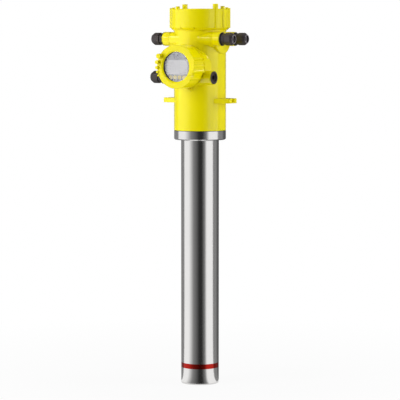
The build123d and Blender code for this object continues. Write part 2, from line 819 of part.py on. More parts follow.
# Rings that centre the rod and the shield in the tube: height of each and what it carries
centring_rings = (
    (rod_bottom + rod_length * 0.1, rod_radius),
    (rod_bottom + rod_length * 0.8, rod_radius),
    (pmt_bottom + photo_tube_length * 0.6, shield_bore + shield_wall),
)
for number, (height, carried) in enumerate(centring_rings, start=1):
    with BuildPart() as centring_ring:
        with BuildSketch(Plane.XY.offset(height)):
            Circle(tube_bore - fit)
            Circle(carried + fit, mode=Mode.SUBTRACT)
        extrude(amount=centring_width)
    keep(centring_ring.part, f"centring_ring_{number}")

# Spring that presses the stack together, under a plate held by a circlip
with BuildPart() as pressure_spring:
    coil_start = (0, 0, socket_top + spring_wire_height / 2)
    coil_height = spring_space - spring_wire_height
    with BuildLine() as coil:
        Helix(coil_height / spring_turns, coil_height, spring_radius, center=coil_start)
    with BuildSketch(Plane(origin=coil.line @ 0, x_dir=(1, 0, 0), z_dir=coil.line % 0)):
        Rectangle(spring_wire_width, spring_wire_height)
    sweep(is_frenet=True)
keep(pressure_spring.part, "pressure_spring")

with BuildPart() as spring_plate:
    with BuildSketch(Plane.XY.offset(plate_bottom)):
        Circle(tube_bore - fit)
        Circle(spring_radius / 2, mode=Mode.SUBTRACT)
    extrude(amount=spring_plate_thickness)
keep(spring_plate.part, "spring_plate")

with BuildPart() as tube_circlip:
    with BuildSketch(Plane.XY.offset(circlip_bottom)):
        Circle(tube_bore + circlip_depth)
        Circle(tube_bore - circlip_width, mode=Mode.SUBTRACT)
        with Locations((tube_bore, 0)):
            Rectangle(tube_radius / 2, circlip_gap_width, mode=Mode.SUBTRACT)
    extrude(amount=circlip_thickness)
keep(tube_circlip.part, "tube_circlip")

# Electronics, hung from the partition by four pillars
power_board_z = housing_bottom + power_board_height
processor_board_z = housing_bottom + processor_board_height
with BuildPart() as board_pillars:
    with BuildSketch(Plane.XY.offset(power_board_z - pillar_foot)):
        with PolarLocations(pillar_circle_radius, 4, start_angle=collar_screw_angle):
            Circle(pillar_radius)
    extrude(amount=partition_bottom - power_board_z + pillar_foot)
keep(board_pillars.part, "board_pillars")

for name, height in (("power_board", power_board_z), ("processor_board", processor_board_z)):
    with BuildPart() as board:
        with BuildSketch(Plane.XY.offset(height)):
            Circle(board_radius)
            with PolarLocations(pillar_circle_radius, 4, start_angle=collar_screw_angle):
                Circle(pillar_radius + fit, mode=Mode.SUBTRACT)
        extrude(amount=board_thickness)
    keep(board.part, name)

with BuildPart() as high_voltage_module:
    with BuildSketch(Plane.XY.offset(power_board_z + board_thickness)):
        Rectangle(module_box[0], module_box[1])
    extrude(amount=module_box[2])
    fillet(high_voltage_module.edges().filter_by(Axis.Z), pin_radius)
keep(high_voltage_module.part, "high_voltage_module")

# Terminals on the partition
terminal_pitch = terminal_length / terminal_count
terminal_top = partition_top + terminal_height
with BuildPart() as terminal_block:
    with BuildSketch(Plane.XY.offset(partition_top)):
        Rectangle(terminal_length, terminal_width)
    extrude(amount=terminal_height)
    with BuildSketch(Plane.XY.offset(terminal_top)):
        with GridLocations(terminal_pitch, 1, terminal_count, 1):
            Circle(terminal_screw_radius + fit)
    extrude(amount=-terminal_screw_depth, mode=Mode.SUBTRACT)
    with BuildSketch(Plane.XZ.offset(-terminal_width / 2)):
        with Locations((0, partition_top + terminal_height / 3)):
            with GridLocations(terminal_pitch, 1, terminal_count, 1):
                Rectangle(terminal_wire_width, terminal_wire_height)
    extrude(amount=terminal_width, mode=Mode.SUBTRACT)
keep(terminal_block.part, "terminal_block")

with BuildPart() as terminal_screws:
    with BuildSketch(Plane.XY.offset(terminal_top - terminal_screw_depth)):
        with GridLocations(terminal_pitch, 1, terminal_count, 1):
            Circle(terminal_screw_radius)
    extrude(amount=terminal_screw_depth - seat_gap)
keep(terminal_screws.part, "terminal_screws")

with BuildPart() as ground_terminal:
    with BuildSketch(Plane.XY.offset(partition_top)):
        with Locations((0, ground_screw_offset)):
            Rectangle(2 * ground_head_radius, 2 * ground_head_radius)
    extrude(amount=ground_clamp_thickness)
    with BuildSketch(Plane.XY.offset(partition_top + ground_clamp_thickness)):
        with Locations((0, ground_screw_offset)):
            Circle(ground_screw_radius)
    extrude(amount=ground_clamp_thickness)
    with BuildSketch(Plane.XY.offset(partition_top + 2 * ground_clamp_thickness)):
        with Locations((0, ground_screw_offset)):
            Circle(ground_head_radius)
    extrude(amount=ground_head_height)
    with BuildSketch(Plane.XY.offset(partition_top + 2 * ground_clamp_thickness + ground_head_height)):
        with Locations((0, ground_screw_offset)):
            Rectangle(2 * ground_head_radius, ground_clamp_thickness / 2)
    extrude(amount=-ground_head_height / 2, mode=Mode.SUBTRACT)
keep(ground_terminal.part, "ground_terminal")
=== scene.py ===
from math import ceil, cos, pi, radians, sin

import bmesh
import bpy
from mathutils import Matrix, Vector


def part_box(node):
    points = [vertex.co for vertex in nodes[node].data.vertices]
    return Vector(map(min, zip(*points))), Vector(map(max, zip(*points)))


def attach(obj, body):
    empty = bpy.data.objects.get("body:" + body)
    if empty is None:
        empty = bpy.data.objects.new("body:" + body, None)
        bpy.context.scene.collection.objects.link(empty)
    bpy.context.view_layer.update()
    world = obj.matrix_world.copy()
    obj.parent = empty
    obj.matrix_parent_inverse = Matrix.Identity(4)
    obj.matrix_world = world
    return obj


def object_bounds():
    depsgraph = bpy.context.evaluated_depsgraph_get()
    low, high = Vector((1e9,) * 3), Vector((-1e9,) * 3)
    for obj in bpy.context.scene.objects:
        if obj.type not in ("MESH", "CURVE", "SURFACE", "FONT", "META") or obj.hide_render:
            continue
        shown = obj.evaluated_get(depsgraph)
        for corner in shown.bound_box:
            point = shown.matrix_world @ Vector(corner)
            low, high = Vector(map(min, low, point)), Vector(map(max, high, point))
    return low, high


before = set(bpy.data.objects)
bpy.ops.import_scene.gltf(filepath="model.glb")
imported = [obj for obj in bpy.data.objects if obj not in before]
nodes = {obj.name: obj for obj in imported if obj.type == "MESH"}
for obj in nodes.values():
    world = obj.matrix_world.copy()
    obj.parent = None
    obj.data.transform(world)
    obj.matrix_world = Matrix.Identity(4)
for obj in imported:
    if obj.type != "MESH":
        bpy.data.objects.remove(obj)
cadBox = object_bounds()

mm = 0.001

print("frame loaded:", len(nodes), "nodes")


# Camera, level with the main lid, a little to the right of the display and tilted slightly down
shot = {
    "azimuth": 30.15,  # degrees round from the display's side
    "distance": 3.945,
    "height": 0.7202,
    "tilt": 5.064,  # degrees below level
    "lens": 176.93,
    "sensor": 36.0,
    "clipEnd": 50.0,
}


# Point that far from the tube's axis, angle degrees right of the camera's side
def around(angle, distance, height=0.0):
    turn = radians(shot["azimuth"] + angle)
    return Vector((sin(turn) * distance, -cos(turn) * distance, height))


def makeCamera():
    data = bpy.data.cameras.new("sensorCamera")
    data.lens = shot["lens"]
    data.sensor_width = shot["sensor"]
    data.clip_end = shot["clipEnd"]
    camera = bpy.data.objects.new("sensorCamera", data)
    bpy.context.scene.collection.objects.link(camera)
    camera.location = around(0, shot["distance"], shot["height"])
    camera.rotation_euler = (radians(90 - shot["tilt"]), 0, radians(shot["azimuth"]))
    bpy.context.scene.camera = camera


makeCamera()
bpy.context.scene.view_settings.view_transform = "Standard"
print("camera set")


# sRGB hex to linear RGBA
def linear(hexColour):
    parts = [int(hexColour[i:i + 2], 16) / 255 for i in (1, 3, 5)]
    return tuple(c / 12.92 if c <= 0.04045 else ((c + 0.055) / 1.055) ** 2.4 for c in parts) + (1.0,)


# Adds a node, sets its fields or sockets, and links sockets given as name=(node, output);
# i0, i1 and so on stand for sockets by number
def addNode(tree, kind, settings=None, **links):
    node = tree.nodes.new(kind)
    for key, value in (settings or {}).items():
        if isinstance(key, int) or key in node.inputs:
            node.inputs[key].default_value = value
        else:
            setattr(node, key, value)
    for key, (source, output) in links.items():
        socket = node.inputs[int(key[1:])] if key[0] == "i" and key[1:].isdigit() else node.inputs[key]
        tree.links.new(source.outputs[output], socket)
    return node


def newMaterial(name):
    material = bpy.data.materials.new(name)
    material.use_nodes = True
    tree = material.node_tree
    tree.nodes.clear()
    return material, tree


# One finish: colour mottled over patches, roughness varied by grain, and a fine bump
def finishMaterial(name, look):
    material, tree = newMaterial(name)
    place = addNode(tree, "ShaderNodeTexCoord")
    stretch = addNode(
        tree, "ShaderNodeMapping", {"Scale": look.get("stretch", (1.0, 1.0, 1.0))}, Vector=(place, "Object")
    )
    patches = addNode(
        tree, "ShaderNodeTexNoise", {"Scale": 1000 / look["patchMm"], "Detail": 3.0}, Vector=(place, "Object")
    )
    grain = addNode(
        tree,
        "ShaderNodeTexNoise",
        {"Scale": 1000 / look["grainMm"], "Detail": 2.0},
        Vector=(stretch, "Vector"),
    )
    colour = addNode(
        tree,
        "ShaderNodeMix",
        {"data_type": "RGBA", 6: linear(look["hex"]), 7: linear(look["hexPatch"])},
        i0=(patches, "Fac"),
    )
    low, high = look["roughness"]
    rough = addNode(tree, "ShaderNodeMapRange", {"To Min": low, "To Max": high}, Value=(grain, "Fac"))
    bump = addNode(
        tree,
        "ShaderNodeBump",
        {"Strength": look.get("bumpStrength", 0.3), "Distance": look["bumpMm"] * mm},
        Height=(grain, "Fac"),
    )
    if "edgeMm" in look:
        edge = addNode(tree, "ShaderNodeBevel", {"samples": 6, "Radius": look["edgeMm"] * mm})
        tree.links.new(edge.outputs["Normal"], bump.inputs["Normal"])
    shader = addNode(
        tree,
        "ShaderNodeBsdfPrincipled",
        look.get("shader", {}),
        Roughness=(rough, "Result"),
        Normal=(bump, "Normal"),
    )
    tree.links.new(colour.outputs[2], shader.inputs["Base Color"])
    addNode(tree, "ShaderNodeOutputMaterial", None, Surface=(shader, "BSDF"))
    return material


# Clear glass or silicone that lets the light through to what is behind it
def clearMaterial(name, look):
    material, tree = newMaterial(name)
    place = addNode(tree, "ShaderNodeTexCoord")
    ripple = addNode(tree, "ShaderNodeTexNoise", {"Scale": 1000 / look["patchMm"]}, Vector=(place, "Object"))
    bump = addNode(
        tree, "ShaderNodeBump", {"Strength": 0.05, "Distance": look["bumpMm"] * mm}, Height=(ripple, "Fac")
    )
    glass = addNode(
        tree,
        "ShaderNodeBsdfPrincipled",
        {
            "Base Color": linear(look["hex"]),
            "Transmission Weight": 1.0,
            "Roughness": look["roughness"],
            "IOR": look["ior"],
        },
        Normal=(bump, "Normal"),
    )
    through = addNode(tree, "ShaderNodeBsdfTransparent", {"Color": linear(look["hex"])})
    ray = addNode(tree, "ShaderNodeLightPath")
    soft = addNode(
        tree,
        "ShaderNodeMath",
        {"operation": "MAXIMUM"},
        i0=(ray, "Is Shadow Ray"),
        i1=(ray, "Is Diffuse Ray"),
    )
    mixed = addNode(
        tree, "ShaderNodeMixShader", None, i0=(soft, 0), i1=(glass, "BSDF"), i2=(through, "BSDF")
    )
    addNode(tree, "ShaderNodeOutputMaterial", None, Surface=(mixed, "Shader"))
    return material


# Powder coated die-cast aluminium: lemon yellow, glossy, with faint orange peel and rounded cast edges
powderCoat = {
    "hex": "#F7EA00",
    "hexPatch": "#F4E600",
    "patchMm": 60.0,
    "grainMm": 3.0,  # spacing of the orange peel
    "bumpMm": 0.03,
    "bumpStrength": 0.12,
    "roughness": (0.06, 0.1),
    "edgeMm": 0.6,
    "shader": {"IOR": 1.5},
}

# Stainless steel tube, ground lengthwise: broad soft reflections with fine streaks along the tube
groundStainless = {
    "hex": "#D9D8D7",
    "hexPatch": "#D2D1D0",
    "patchMm": 90.0,
    "grainMm": 1.2,  # real scratches are near 0.1 mm, drawn coarser
    "stretch": (1.0, 1.0, 0.02),
    "bumpMm": 0.01,
    "bumpStrength": 0.15,
    "roughness": (0.13, 0.19),
    "shader": {"Metallic": 1.0},
}

# Turned machine steel of screws, springs and rings: grey with fine rings
turnedSteel = {
    "hex": "#A5A5A6",
    "hexPatch": "#939395",
    "patchMm": 8.0,
    "grainMm": 0.6,  # real tool marks are near 0.15 mm, drawn coarser
    "bumpMm": 0.01,
    "roughness": (0.25, 0.4),
    "shader": {"Metallic": 1.0},
}

# Clear red lacquer over the ground steel of the tube's groove: the steel's streaks shine through it
redLacquer = {
    "hex": "#A82016",
    "hexPatch": "#A01C12",
    "patchMm": 30.0,
    "grainMm": 1.2,  # as on the tube, whose streaks it shows
    "stretch": (1.0, 1.0, 0.05),
    "bumpMm": 0.01,
    "bumpStrength": 0.15,
    "roughness": (0.15, 0.22),
    "shader": {"Metallic": 0.9},
}

# Moulded black polyamide: dark grey under light, with a fine eroded texture and softened edges
mouldedPolyamide = {
    "hex": "#342C2D",
    "hexPatch": "#2D2627",
    "patchMm": 12.0,
    "grainMm": 0.7,  # real eroded texture is near 0.2 mm, drawn coarser
    "bumpMm": 0.05,
    "bumpStrength": 0.25,
    "roughness": (0.42, 0.55),
    "edgeMm": 0.5,
    "shader": {"IOR": 1.53},
}

# The same polyamide with a painted highlight, for the light caught on the rounded rims of the nuts' mouths:
# greyer and smoother
mouthHighlightPolyamide = {
    "hex": "#99939A",
    "hexPatch": "#8B858B",
    "patchMm": 4.0,
    "grainMm": 0.6,  # fine grain, drawn coarser
    "bumpMm": 0.02,
    "roughness": (0.3, 0.45),
    "shader": {"IOR": 1.53},
}

# Black nitrile rubber of seals and gaskets: matt, almost black
nitrileRubber = {
    "hex": "#1C1B20",
    "hexPatch": "#17161A",
    "patchMm": 9.0,
    "grainMm": 0.5,  # real skin grain is finer, drawn coarser
    "bumpMm": 0.03,
    "roughness": (0.6, 0.75),
    "shader": {"IOR": 1.52},
}

# Grey chloroprene of the glands' sealing inserts: matt with a bloom
chloropreneInsert = {
    "hex": "#8F898D",
    "hexPatch": "#878185",
    "patchMm": 6.0,
    "grainMm": 0.5,  # real skin grain is finer, drawn coarser
    "bumpMm": 0.03,
    "roughness": (0.55, 0.7),
    "shader": {"IOR": 1.52},
}

# Polycarbonate front of the display module: violet grey, moulded satin
displayPolycarbonate = {
    "hex": "#3E3A4A",
    "hexPatch": "#393545",
    "patchMm": 20.0,
    "grainMm": 0.8,  # real satin texture is finer, drawn coarser
    "bumpMm": 0.02,
    "roughness": (0.4, 0.5),
    "shader": {"IOR": 1.58},
}

# Reflective display panel with nothing on it: light violet grey film
panelFilm = {
    "hex": "#99929A",
    "hexPatch": "#938C94",
    "patchMm": 25.0,
    "grainMm": 0.6,  # real matt grain is finer, drawn coarser
    "bumpMm": 0.005,
    "roughness": (0.3, 0.36),
    "shader": {"IOR": 1.49},
}

# Extruded silicone gasket of the window: violet grey, soft sheen
siliconeGasket = {
    "hex": "#6A6690",
    "hexPatch": "#625E88",
    "patchMm": 8.0,
    "grainMm": 0.5,  # real die lines are finer, drawn coarser
    "bumpMm": 0.02,
    "roughness": (0.45, 0.55),
    "shader": {"IOR": 1.43},
}

# Silicone keys: straw yellow, matt
siliconeKey = {
    "hex": "#C9AE3C",
    "hexPatch": "#C1A634",
    "patchMm": 6.0,
    "grainMm": 0.5,  # real mould texture is finer, drawn coarser
    "bumpMm": 0.02,
    "roughness": (0.5, 0.6),
    "shader": {"IOR": 1.43},
}

# Printing ink of the marks on the keys: violet grey, flat
keyInk = {
    "hex": "#706B76",
    "hexPatch": "#68636E",
    "patchMm": 3.0,
    "grainMm": 0.3,  # real ink grain is finer, drawn coarser
    "bumpMm": 0.005,
    "roughness": (0.5, 0.6),
}

# Polished plastic scintillator: bluish white, glossy
polishedScintillator = {
    "hex": "#C9D6F0",
    "hexPatch": "#BFCDEA",
    "patchMm": 40.0,
    "grainMm": 2.0,  # length of the polish waves
    "bumpMm": 0.005,
    "roughness": (0.06, 0.12),
    "shader": {"IOR": 1.58},
}

# Annealed nickel iron sheet of the magnetic shield: dull warm grey
annealedShield = {
    "hex": "#A09C92",
    "hexPatch": "#8E8A82",
    "patchMm": 15.0,
    "grainMm": 0.8,  # real rolling grain is finer, drawn coarser
    "bumpMm": 0.01,
    "roughness": (0.35, 0.5),
    "shader": {"Metallic": 1.0},
}

# Phenolic moulding of the tube socket: brown black, glossy
phenolicMoulding = {
    "hex": "#2A1B14",
    "hexPatch": "#22150F",
    "patchMm": 10.0,
    "grainMm": 0.9,  # flow marks of the moulding
    "bumpMm": 0.02,
    "roughness": (0.25, 0.35),
    "shader": {"IOR": 1.6},
}

# Cut polyethylene foam of pads and centring rings: dark grey with open pores
cutFoam = {
    "hex": "#4A4B50",
    "hexPatch": "#3C3D42",
    "patchMm": 5.0,
    "grainMm": 1.5,  # pore size
    "bumpMm": 0.4,
    "bumpStrength": 0.6,
    "roughness": (0.85, 0.95),
    "shader": {"IOR": 1.45},
}

# Solder mask over glass fibre board: deep green, half gloss, with the weave faintly showing
solderMask = {
    "hex": "#0F5A32",
    "hexPatch": "#0C4D2B",
    "patchMm": 4.0,
    "grainMm": 0.8,  # spacing of the glass weave
    "bumpMm": 0.02,
    "roughness": (0.25, 0.35),
    "shader": {"IOR": 1.5},
}

# Epoxy potting of the high voltage module: black, slightly wavy
epoxyPotting = {
    "hex": "#1B1C20",
    "hexPatch": "#15161A",
    "patchMm": 12.0,
    "grainMm": 3.0,  # length of the surface waves
    "bumpMm": 0.05,
    "roughness": (0.2, 0.35),
    "edgeMm": 0.6,
    "shader": {"IOR": 1.55},
}

# Moulded grey polyamide of the terminal block
terminalPolyamide = {
    "hex": "#8B8F8C",
    "hexPatch": "#838784",
    "patchMm": 8.0,
    "grainMm": 0.6,  # real mould texture is finer, drawn coarser
    "bumpMm": 0.03,
    "roughness": (0.45, 0.55),
    "edgeMm": 0.4,
    "shader": {"IOR": 1.53},
}

# Turned brass of pillars and ground terminal: warm yellow metal
turnedBrass = {
    "hex": "#C9A566",
    "hexPatch": "#BC9757",
    "patchMm": 6.0,
    "grainMm": 0.5,  # real tool marks are near 0.15 mm, drawn coarser
    "bumpMm": 0.01,
    "roughness": (0.25, 0.35),
    "shader": {"Metallic": 1.0},
}

# Toughened float glass of the window: clear, flat, a trace of green
toughenedGlass = {"hex": "#FAFCFB", "patchMm": 30.0, "bumpMm": 0.01, "roughness": 0.0, "ior": 1.52}

# Borosilicate envelope of the photomultiplier, with its dark electrodes behind a clear wall
borosilicateGlass = {"hex": "#9AA3A6", "patchMm": 20.0, "bumpMm": 0.05, "roughness": 0.02, "ior": 1.47}

# Clear cast silicone between rod and photomultiplier
castSilicone = {"hex": "#E8EDEE", "patchMm": 8.0, "bumpMm": 0.02, "roughness": 0.08, "ior": 1.41}

finishes = {
    "powderCoat": finishMaterial("powderCoatedAluminium", powderCoat),
    "stainless": finishMaterial("groundStainlessSteel", groundStainless),
    "steel": finishMaterial("turnedMachineSteel", turnedSteel),
    "lacquer": finishMaterial("clearRedLacquer", redLacquer),
    "polyamide": finishMaterial("mouldedBlackPolyamide", mouldedPolyamide),
    # paler polyamide for the nuts' mouths: a painted highlight
    "paintedHighlight": finishMaterial("paintedHighlightPolyamide", mouthHighlightPolyamide),
    "nitrile": finishMaterial("blackNitrileRubber", nitrileRubber),
    "chloroprene": finishMaterial("greyChloroprene", chloropreneInsert),
    "polycarbonate": finishMaterial("greyPolycarbonate", displayPolycarbonate),
    "film": finishMaterial("displayPanelFilm", panelFilm),
    "gasket": finishMaterial("extrudedSiliconeGasket", siliconeGasket),
    "silicone": finishMaterial("mouldedSiliconeKey", siliconeKey),
    "ink": finishMaterial("padPrintedInk", keyInk),
    "scintillator": finishMaterial("polishedPlasticScintillator", polishedScintillator),
    "shield": finishMaterial("annealedNickelIron", annealedShield),
    "phenolic": finishMaterial("mouldedPhenolic", phenolicMoulding),
    "foam": finishMaterial("cutPolyethyleneFoam", cutFoam),
    "board": finishMaterial("solderMaskedGlassFibre", solderMask),
    "potting": finishMaterial("castEpoxyPotting", epoxyPotting),
    "terminal": finishMaterial("mouldedGreyPolyamide", terminalPolyamide),
    "brass": finishMaterial("turnedBrass", turnedBrass),
    "window": clearMaterial("toughenedFloatGlass", toughenedGlass),
    "envelope": clearMaterial("borosilicateGlass", borosilicateGlass),
    "clearPad": clearMaterial("castClearSilicone", castSilicone),
}
print("materials made:", len(finishes))

# Which finish each CAD node has, by the start of its name
finishOf = {
    "housing": "powderCoat",
    "main_lid_seal": "nitrile",
    "main_lid": "powderCoat",
    "display_lid_seal": "nitrile",
    "display_lid": "powderCoat",
    "collar_gasket": "nitrile",
    "collar_screws": "steel",
    "collar": "stainless",
    "detector_tube": "stainless",
    "tube_end_cap": "stainless",
    "mark_ring": "lacquer",
    "gland_body": "polyamide",
    "gland_nut": "polyamide",
    "gland_seal": "chloroprene",
    "gland_washers": "nitrile",
    "blind_plug": "polyamide",
    "lid_lock_screw": "powderCoat",
    "display_window": "window",
    "window_gasket": "gasket",
    "window_retaining_ring": "polycarbonate",
    "display_module_case": "polycarbonate",
    "lcd_panel": "film",
    "display_key": "silicone",
    "scintillator_rod": "scintillator",
    "rod_pad": "foam",
    "centring_ring": "foam",
    "optical_pad": "clearPad",
    "photomultiplier": "envelope",
    "tube_socket": "phenolic",
    "magnetic_shield": "shield",
    "pressure_spring": "steel",
    "spring_plate": "steel",
    "tube_circlip": "steel",
    "power_board": "board",
    "processor_board": "board",
    "board_pillars": "brass",
    "high_voltage_module": "potting",
    "terminal_block": "terminal",
    "terminal_screws": "steel",
    "ground_terminal": "brass",
}


def dressNodes():
    for name, node in nodes.items():
        start = max((s for s in finishOf if name.startswith(s)), key=len)
        node.data.materials.clear()
        node.data.materials.append(finishes[finishOf[start]])


# The flat end face of each gland nut gets a painted highlight, a paler ring round its hole
nutMouth = {"depth": 0.3 * mm}


def paintNutMouthHighlights():
    for name, node in nodes.items():
        if not name.startswith("gland_nut_"):
            continue
        # the paler second material is a painted highlight on the nut's end face
        node.data.materials.append(finishes["paintedHighlight"])
        low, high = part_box(name)
        end = high.x if low.x + high.x > 0 else low.x
        for face in node.data.polygons:
            if abs((node.matrix_world @ face.center).x - end) < nutMouth["depth"]:
                face.material_index = 1


dressNodes()
paintNutMouthHighlights()
print("nodes dressed")


# Turns a bmesh into a piece that rides on a body
def meshPiece(name, shape, finish, body):
    data = bpy.data.meshes.new(name)
    shape.to_mesh(data)
    shape.free()
    piece = bpy.data.objects.new(name, data)
    bpy.context.scene.collection.objects.link(piece)
    data.materials.append(finishes[finish])
    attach(piece, body)
    return piece


# Screw threads of the two necks and the gland bodies
threads = {
    "rise": 0.22 * mm,  # of the crest over the wall
    "sunk": 0.05 * mm,  # of the foot into the wall
    "halfFoot": 0.35,  # of the pitch
    "lidPitch": 2.0 * mm,
    "sealSection": 2.6 * mm,
    "lidPlay": 0.3 * mm,
    "neckMargin": 3 * mm,  # plain wall before and after a neck's thread
    "glandPitch": 1.5 * mm,
    "glandNeckRadius": 9.2 * mm,
    "glandStart": 12.3 * mm,  # inwards from the gland body's outer end
    "glandLength": 11.4 * mm,
    "stepsPerTurn": 72,
    "runInSteps": 18,
}


# A thread's helical ridge on a round wall, three-cornered in section
def threadShape(origin, outwards, radius, pitch, length):
    outwards = Vector(outwards)
    sideways = Vector((0, 0, 1)) if abs(outwards.z) < 0.5 else Vector((1, 0, 0))
    upwards = outwards.cross(sideways)
    stepsPerTurn, runIn = threads["stepsPerTurn"], threads["runInSteps"]
    foot, crest, reach = radius - threads["sunk"], threads["rise"], threads["halfFoot"] * pitch
    steps = ceil(length / pitch * stepsPerTurn)
    shape = bmesh.new()
    previous = None
    for step in range(steps + 1):
        turn = 2 * pi * step / stepsPerTurn
        along = pitch * step / stepsPerTurn
        fade = min(1.0, step / runIn, (steps - step) / runIn)  # run-in and run-out of the thread
        radial = sideways * cos(turn) + upwards * sin(turn)
        corners = ((foot, -reach), (radius + crest * fade, 0.0), (foot, reach))
        ring = [shape.verts.new(origin + radial * r + outwards * (along + a)) for r, a in corners]
        if previous:
            for i in range(3):
                j = (i + 1) % 3
                shape.faces.new((previous[i], previous[j], ring[j], ring[i]))
        else:
            shape.faces.new(ring)
        previous = ring
    shape.faces.new(previous)
    bmesh.ops.recalc_face_normals(shape, faces=shape.faces)
    return shape


# The wall that a lid's thread runs on, from the outside of its seal
def neckWall(sealRadius):
    return sealRadius - threads["sealSection"] - threads["lidPlay"]


def makeThreads():
    margin, pitch = threads["neckMargin"], threads["lidPitch"]
    housingLow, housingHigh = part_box("housing")
    sealLow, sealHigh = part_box("main_lid_seal")
    start = sealHigh.z + margin
    length = housingHigh.z - start - margin
    shape = threadShape(Vector((0, 0, start)), (0, 0, 1), neckWall(-sealLow.x), pitch, length)
    meshPiece("neckThread", shape, "powderCoat", "base")

    sealLow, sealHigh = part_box("display_lid_seal")
    origin = Vector((0, sealLow.y - margin, (sealLow.z + sealHigh.z) / 2))
    length = sealLow.y - margin - housingLow.y - margin
    shape = threadShape(origin, (0, -1, 0), neckWall((sealHigh.z - sealLow.z) / 2), pitch, length)
    meshPiece("displayNeckThread", shape, "powderCoat", "base")

    radius, pitch, length = threads["glandNeckRadius"], threads["glandPitch"], threads["glandLength"]
    for name in nodes:
        if not name.startswith("gland_body_"):
            continue
        low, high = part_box(name)
        side = 1 if low.x + high.x > 0 else -1
        outerEnd = high.x if side > 0 else low.x
        start = outerEnd - side * threads["glandStart"]
        origin = Vector((start, (low.y + high.y) / 2, (low.z + high.z) / 2))
        shape = threadShape(origin, (side, 0, 0), radius, pitch, length)
        place = name.removeprefix("gland_body_")
        meshPiece(f"glandThread_{place}", shape, "polyamide", "base")


makeThreads()
print("threads made")

# Plain signs on the keys, printed as flat strokes
keyMarks = {
    "reach": 1.8 * mm,  # of a sign from its key's middle
    "stroke": 0.5 * mm,
    "thickness": 0.12 * mm,
    # ends of each stroke, across and up, as shares of the reach
    "frame": [((-1, -1), (1, -1)), ((1, -1), (1, 1)), ((1, 1), (-1, 1)), ((-1, 1), (-1, -1))],
    "arrow": [((-1, 0), (1, 0)), ((0.1, 0.8), (1, 0)), ((0.1, -0.8), (1, 0))],
    "plus": [((-1, 0), (1, 0)), ((0, -1), (0, 1))],
    "stepBack": [((1, 0.7), (1, -0.6)), ((1, -0.6), (-1, -0.6)), ((-1, -0.6), (-0.2, -1))],
}


# Adds one flat stroke on a key's face
def addStroke(shape, ends, centre):
    reach = keyMarks["reach"]
    start, end = (Vector((across * reach, up * reach)) for across, up in ends)
    along = (end - start).normalized()
    aside = Vector((-along.y, along.x)) * keyMarks["stroke"] / 2
    outline = [start - aside, end - aside, end + aside, start + aside]
    back = [shape.verts.new(centre + Vector((p.x, 0, p.y))) for p in outline]
    front = [shape.verts.new(v.co + Vector((0, -keyMarks["thickness"], 0))) for v in back]
    shape.faces.new(front)
    shape.faces.new(list(reversed(back)))
    for i in range(4):
        j = (i + 1) % 4
        shape.faces.new((back[i], back[j], front[j], front[i]))


def makeKeyMarks():
    for number, sign in enumerate(("frame", "arrow", "plus", "stepBack"), 1):
        key = f"display_key_{number}"
        low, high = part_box(key)
        centre = Vector(((low.x + high.x) / 2, low.y, (low.z + high.z) / 2))
        shape = bmesh.new()
        for ends in keyMarks[sign]:
            addStroke(shape, ends, centre)
        bmesh.ops.recalc_face_normals(shape, faces=shape.faces)
        meshPiece(f"keyMark_{number}", shape, "ink", key)


makeKeyMarks()
print("key marks made")


# 1 for the rays that should see the plain white surround: camera, glossy and transmission
def plainRays(tree):
    ray = addNode(tree, "ShaderNodeLightPath")
    largest = {"operation": "MAXIMUM"}
    first = addNode(tree, "ShaderNodeMath", largest, i0=(ray, "Is Camera Ray"), i1=(ray, "Is Glossy Ray"))
    return addNode(tree, "ShaderNodeMath", largest, i0=(first, 0), i1=(ray, "Is Transmission Ray"))


# White surround, which lights the object only a little
surround = {"light": 0.2}


def makeWorld():
    world = bpy.data.worlds.new("studioSurround")
    bpy.context.scene.world = world
    world.use_nodes = True
    tree = world.node_tree
    tree.nodes.clear()
    seen = plainRays(tree)
    strength = addNode(
        tree, "ShaderNodeMapRange", {"To Min": surround["light"], "To Max": 1.0}, Value=(seen, 0)
    )
    background = addNode(
        tree, "ShaderNodeBackground", {"Color": (1, 1, 1, 1)}, Strength=(strength, "Result")
    )
    addNode(tree, "ShaderNodeOutputWorld", None, Surface=(background, "Background"))


# Pale painted floor, which glows to white further out
floorLook = {
    "size": 30.0,
    "drop": 0.0002,  # below the object's foot
    "hex": "#D2D2D2",
    "glow": 0.93,  # at the object's foot, so that its shadow shows; 1 further out
    "glowReach": (0.2, 0.9),
}


def makeFloor():
    material, tree = newMaterial("paleFloor")
    white = addNode(tree, "ShaderNodeBsdfDiffuse", {"Color": linear(floorLook["hex"])})
    glow = addNode(tree, "ShaderNodeEmission", {"Color": (1, 1, 1, 1), "Strength": 1.0})
    place = addNode(tree, "ShaderNodeTexCoord")
    apart = addNode(tree, "ShaderNodeVectorMath", {"operation": "LENGTH"}, Vector=(place, "Object"))
    inner, outer = floorLook["glowReach"]
    share = addNode(
        tree,
        "ShaderNodeMapRange",
        {"From Min": inner, "From Max": outer, "To Min": floorLook["glow"]},
        Value=(apart, "Value"),
    )
    seen = addNode(
        tree, "ShaderNodeMath", {"operation": "MULTIPLY"}, i0=(plainRays(tree), 0), i1=(share, 0)
    )
    mixed = addNode(
        tree, "ShaderNodeMixShader", None, i0=(seen, 0), i1=(white, "BSDF"), i2=(glow, "Emission")
    )
    addNode(tree, "ShaderNodeOutputMaterial", None, Surface=(mixed, "Shader"))
    height = cadBox[0][2] - floorLook["drop"]
    bpy.ops.mesh.primitive_plane_add(size=floorLook["size"], location=(0, 0, height))
    floor = bpy.context.object
    floor.name = "paleFloor"
    floor.data.materials.append(material)


# Links a mesh that only reflections show: hidden from camera, diffuse, transmission and shadow rays
def reflectionPiece(name, shape, material):
    data = bpy.data.meshes.new(name)
    shape.to_mesh(data)
    shape.free()
    piece = bpy.data.objects.new(name, data)
    bpy.context.scene.collection.objects.link(piece)
    data.materials.append(material)
    piece.visible_camera = piece.visible_diffuse = False
    piece.visible_transmission = piece.visible_shadow = False
    return piece


